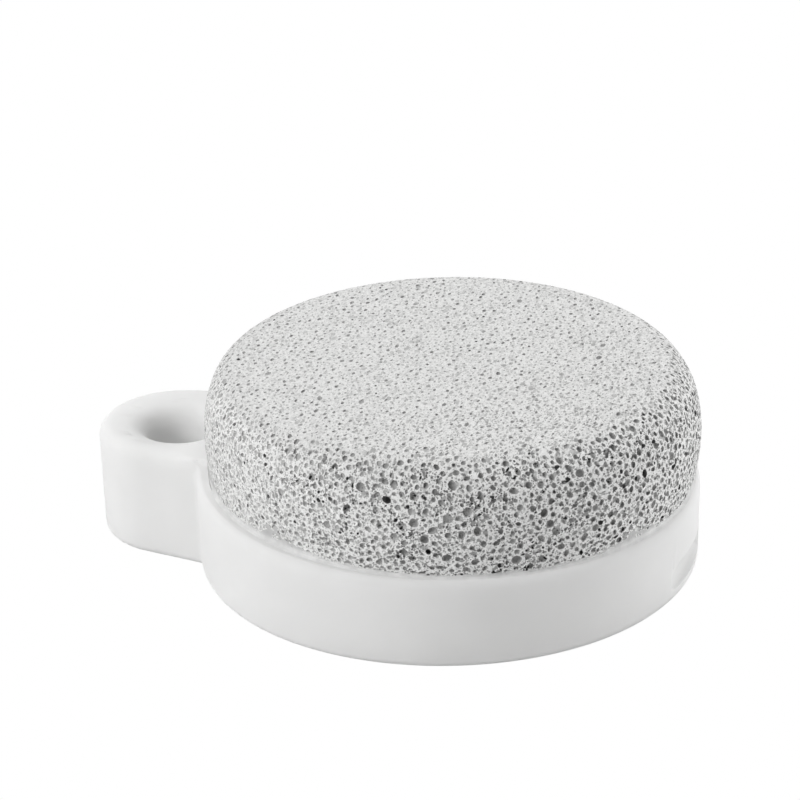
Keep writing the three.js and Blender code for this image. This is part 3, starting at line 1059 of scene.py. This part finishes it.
# The painted shade of the modelled pores and of the fine bubbles, whichever is deeper.
all_painted_shade = math_node(tree, "MAXIMUM", read.outputs["Fac"], math_node(tree, "MULTIPLY", fine_dents_and_shade, fineness_and_shade))
ramp = nodes.new("ShaderNodeValToRGB")
ramp.color_ramp.elements[0].color = LAND
ramp.color_ramp.elements[1].color = DEEP_PAINTED_SHADE
mid = ramp.color_ramp.elements.new(0.45)
mid.color = HALF_PAINTED_SHADE
links.new(all_painted_shade, ramp.inputs["Fac"])
speckle = nodes.new("ShaderNodeTexNoise")
speckle.inputs["Scale"].default_value = 4.5 / MM
speckle.inputs["Detail"].default_value = 2
links.new(grain.outputs[0], speckle.inputs["Vector"])
flecks = remap(tree, speckle.outputs[0], 0.3, 0.7, 0.84, 1.06, "LINEAR")
flecked = nodes.new("ShaderNodeVectorMath")
flecked.operation = "SCALE"
links.new(ramp.outputs["Color"], flecked.inputs[0])
links.new(flecks, flecked.inputs["Scale"])
# Towards the top the colour is multiplied by a grey, a trace of painted shade.
links.new(darkened(tree, flecked.outputs[0], TOP_PAINTED_SHADE, worn_and_shaded_top), stone_bsdf.inputs["Base Color"])
dents = nodes.new("ShaderNodeBump")
dents.invert = True
dents.inputs["Strength"].default_value = 0.6
dents.inputs["Distance"].default_value = 0.12 * MM
links.new(fine_dents_and_shade, dents.inputs["Height"])
links.new(dents.outputs["Normal"], stone_bsdf.inputs["Normal"])
stone.data.materials.append(pumice)
print(pumice.name, "uses", len(BUBBLE_LAYERS), "layers of fine bubbles")

# %% [markdown]
# The plastic is milky: light enters, spreads a few millimetres and comes out again. This subsurface
# scattering lifts the shade in the hole and softens the rim. The cement is made by the same function
# without scattering. Both get a cloud pattern from one shared group: it shifts the white by a trace
# and lets the surface swell a little.

# %% Clouds
clouds, clouds_in, clouds_out = new_group(
    "clouds", [("Place", "Vector"), ("Broad", "Float"), ("Fine", "Float")], [("Tone", "Float"), ("Height", "Float")]
)
for label, detail in (("Broad", 2), ("Fine", 3)):
    cloud = clouds.nodes.new("ShaderNodeTexNoise")
    cloud.inputs["Detail"].default_value = detail
    clouds.links.new(clouds_in.outputs["Place"], cloud.inputs["Vector"])
    clouds.links.new(clouds_in.outputs[label], cloud.inputs["Scale"])
    clouds.links.new(cloud.outputs[0], clouds_out.inputs["Tone" if label == "Broad" else "Height"])


def milky(name, darkest, lightest, broad, fine, swell, depth, spread=1):
    """A milky white: two whites, cloud scales per mm, swell in mm, share and spread of scattering."""
    material, nodes, links = new_material(name)
    body = nodes["Principled BSDF"]
    body.inputs["Roughness"].default_value = 0.65
    body.inputs["Specular IOR Level"].default_value = 0.06
    body.inputs["Subsurface Weight"].default_value = depth
    body.inputs["Subsurface Radius"].default_value = (1, 1, 1)
    body.inputs["Subsurface Scale"].default_value = spread * MM
    cloud = nodes.new("ShaderNodeGroup")
    cloud.node_tree = clouds
    cloud.inputs["Broad"].default_value = broad / MM
    cloud.inputs["Fine"].default_value = fine / MM
    links.new(nodes.new("ShaderNodeTexCoord").outputs["Object"], cloud.inputs["Place"])
    whites = nodes.new("ShaderNodeValToRGB")
    whites.color_ramp.elements[0].position = 0.3
    whites.color_ramp.elements[0].color = (darkest, darkest, darkest * 0.995, 1)
    whites.color_ramp.elements[1].position = 0.7
    whites.color_ramp.elements[1].color = (lightest, lightest, lightest * 0.995, 1)
    links.new(cloud.outputs["Tone"], whites.inputs["Fac"])
    links.new(whites.outputs["Color"], body.inputs["Base Color"])
    relief = nodes.new("ShaderNodeBump")
    relief.inputs["Strength"].default_value = 0.3
    relief.inputs["Distance"].default_value = swell * MM
    links.new(cloud.outputs["Height"], relief.inputs["Height"])
    links.new(relief.outputs["Normal"], body.inputs["Normal"])
    return material


# %% [markdown]
# Along the joint the plastic's scattering fades out. The cement covers the plastic there, and the
# light that can't come out below it would be missed as a dark line beside it.

# %% The white plastic
PLASTIC_DEPTH = 0.7
LEAN_UP = (RIM_LEAN / CUP_RADIUS, 0, 1)
white_plastic = milky("white_plastic", 0.82, 0.85, 0.12, 0.9, 0.05, PLASTIC_DEPTH, 1.8)
spots = np.array([tuple(v.co) for v in holder.data.vertices]) / MM
level = spots @ LEAN_UP
reach = np.hypot(spots[:, 0], spots[:, 1])
near_rim = smooth(level, CUP_HEIGHT - 1.1, CUP_HEIGHT - 0.2)
near_joint = near_rim * (1 - smooth(reach, CUP_RADIUS + 0.3, CUP_RADIUS + 1.5))
free = holder.data.attributes.new("free_of_joint", "FLOAT", "POINT")
free.data.foreach_set("value", 1 - near_joint)
tree = white_plastic.node_tree
read = tree.nodes.new("ShaderNodeAttribute")
read.attribute_name = "free_of_joint"
weight = math_node(tree, "MULTIPLY", read.outputs["Fac"], PLASTIC_DEPTH)
tree.links.new(weight, tree.nodes["Principled BSDF"].inputs["Subsurface Weight"])
holder.data.materials.append(white_plastic)
print(white_plastic.name, "scatters least at", int(np.count_nonzero(near_joint > 0.5)), "points by the joint")

# %% [markdown]
# The cement is as white as the plastic on the rim. Further up it is only a film over dark pores, so
# it gets greyer with its height above the leaning rim.

# %% The cement's white
FILM_GREY = 0.72
FILM_FROM, FILM_TO = 11.7, 12.7
cement_white = milky("cement_white", 0.72, 0.84, 0.7, 2.5, 0.3, 0)
tree = cement_white.node_tree
nodes = tree.nodes
above_rim = distance_along(tree, nodes["Texture Coordinate"].outputs["Object"], LEAN_UP)
film = remap(tree, above_rim, FILM_FROM * MM, FILM_TO * MM)
thinned = darkened(tree, nodes["Color Ramp"].outputs["Color"], FILM_GREY, film)
tree.links.new(thinned, nodes["Principled BSDF"].inputs["Base Color"])
cement.data.materials.append(cement_white)
print(cement_white.name, "gets greyer from", FILM_FROM, "to", FILM_TO, "mm")
